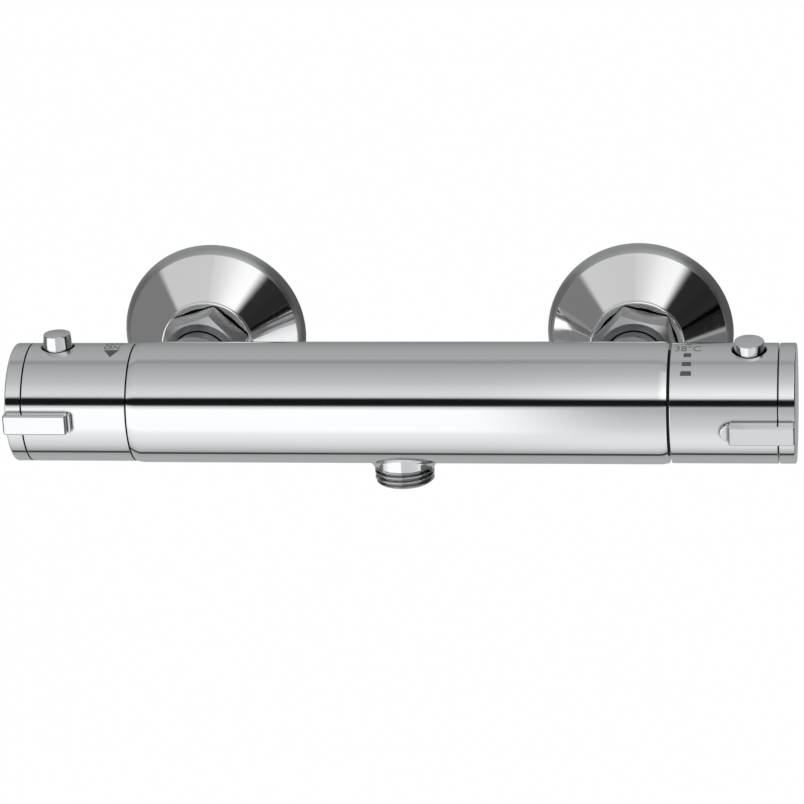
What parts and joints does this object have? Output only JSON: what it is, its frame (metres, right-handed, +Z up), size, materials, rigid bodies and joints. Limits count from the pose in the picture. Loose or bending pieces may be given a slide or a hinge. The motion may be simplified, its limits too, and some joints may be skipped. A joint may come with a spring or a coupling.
{
  "type": "thermostatic shower valve",
  "caption": "Exposed thermostatic shower bar valve with a flow knob, a temperature knob with lever and button, wall rosettes, union nuts and a threaded outlet below.",
  "frame": {"origin": "on the finished wall, midway between the two supply threads", "axes": "+X along the bar towards the temperature knob, +Y into the wall, +Z up; the user stands at -Y"},
  "size_m": [0.2769, 0.121, 0.0688],
  "materials": {
    "chrome_brass": "polished chrome plate on brass",
    "chrome_steel": "polished chrome plate on pressed steel",
    "chrome_plastic": "polished chrome plate on ABS",
    "raw_brass": "machined",
    "engineering_plastic": "moulded acetal",
    "black_plastic": "moulded",
    "carrier_plastic": "moulded glass-filled nylon",
    "rubber": "moulded EPDM",
    "ceramic": "lapped alumina",
    "copper": "drawn copper",
    "stainless": "drawn stainless steel"
  },
  "bodies": {
    "valve": {"valve_body": "chrome_brass", "channel_plugs": "raw_brass", "outlet_nipple": "chrome_brass", "hot_union_nut": "chrome_brass", "cold_union_nut": "chrome_brass", "hot_s_union": "chrome_brass", "cold_s_union": "chrome_brass", "hot_inlet_tail": "chrome_brass", "cold_inlet_tail": "chrome_brass", "hot_rosette": "chrome_steel", "cold_rosette": "chrome_steel", "hot_washer": "rubber", "cold_washer": "rubber", "hot_filter": "stainless", "cold_filter": "stainless", "hot_check_housing": "engineering_plastic", "cold_check_housing": "engineering_plastic", "hot_check_spring": "stainless", "cold_check_spring": "stainless", "flow_seal": "rubber", "flow_fixed_disc": "ceramic", "flow_housing": "raw_brass", "flow_o_rings": "rubber", "flow_stop_ring": "black_plastic", "cartridge_housing": "engineering_plastic", "cartridge_nut": "raw_brass", "cartridge_o_rings": "rubber", "temp_spindle_o_ring": "rubber", "return_spring": "stainless", "temp_stop_ring": "black_plastic"},
    "flow_control": {"flow_knob": "chrome_plastic", "flow_end_cap": "chrome_plastic", "flow_lever": "chrome_plastic", "flow_carrier": "carrier_plastic", "flow_knob_screw": "stainless", "flow_spindle": "raw_brass", "flow_moving_disc": "ceramic", "eco_button_spring": "stainless"},
    "eco_button_body": {"eco_button": "chrome_plastic"},
    "temp_control": {"temp_knob": "chrome_plastic", "temp_end_cap": "chrome_plastic", "temp_lever": "chrome_plastic", "temp_carrier": "carrier_plastic", "temp_knob_screw": "stainless", "temp_spindle": "raw_brass", "safety_button_spring": "stainless"},
    "safety_button_body": {"safety_button": "chrome_plastic"},
    "temp_drive": {"drive_nut": "raw_brass", "overload_seat": "raw_brass", "overload_spring": "stainless", "wax_piston": "stainless"},
    "thermal_shuttle": {"shuttle": "engineering_plastic", "wax_element": "copper"},
    "hot_check": {"hot_check_poppet": "engineering_plastic"},
    "cold_check": {"cold_check_poppet": "engineering_plastic"}
  },
  "joints": [
    {"name": "flow_turn", "type": "hinge", "parent": "valve", "child": "flow_control", "pos_m": [-0.10355, -0.08, -0.0035], "axis": [1, 0, 0], "range_deg": [0, 90]},
    {"name": "eco_press", "type": "slide", "parent": "flow_control", "child": "eco_button_body", "axis": [0, 0.0157, -0.9999], "range_m": [0, 0.002], "stiffness_N_per_m": 600, "springref_m": -0.003, "deforming": ["eco_button_spring"]},
    {"name": "temp_turn", "type": "hinge", "parent": "valve", "child": "temp_control", "pos_m": [0.10645, -0.08, -0.0035], "axis": [1, 0, 0], "range_deg": [-60, 160]},
    {"name": "safety_press", "type": "slide", "parent": "temp_control", "child": "safety_button_body", "axis": [0, 0.1547, -0.988], "range_m": [0, 0.002], "stiffness_N_per_m": 600, "springref_m": -0.003, "deforming": ["safety_button_spring"]},
    {"name": "drive_slide", "type": "slide", "parent": "valve", "child": "temp_drive", "axis": [1, 0, 0], "range_m": [-0.00112, 0.00042]},
    {"name": "thermal_slide", "type": "slide", "parent": "temp_drive", "child": "thermal_shuttle", "axis": [1, 0, 0], "range_m": [-0.0006, 0.0006], "stiffness_N_per_m": 3000, "deforming": ["return_spring"]},
    {"name": "hot_check_lift", "type": "slide", "parent": "valve", "child": "hot_check", "axis": [0, -1, 0], "range_m": [0, 0.0025], "stiffness_N_per_m": 40, "springref_m": -0.01, "deforming": ["hot_check_spring"]},
    {"name": "cold_check_lift", "type": "slide", "parent": "valve", "child": "cold_check", "axis": [0, -1, 0], "range_m": [0, 0.0025], "stiffness_N_per_m": 40, "springref_m": -0.01, "deforming": ["cold_check_spring"]}
  ],
  "couplings": [
    {"joint": "drive_slide", "follows": "temp_turn", "m_per_rad": -0.00039789}
  ]
}
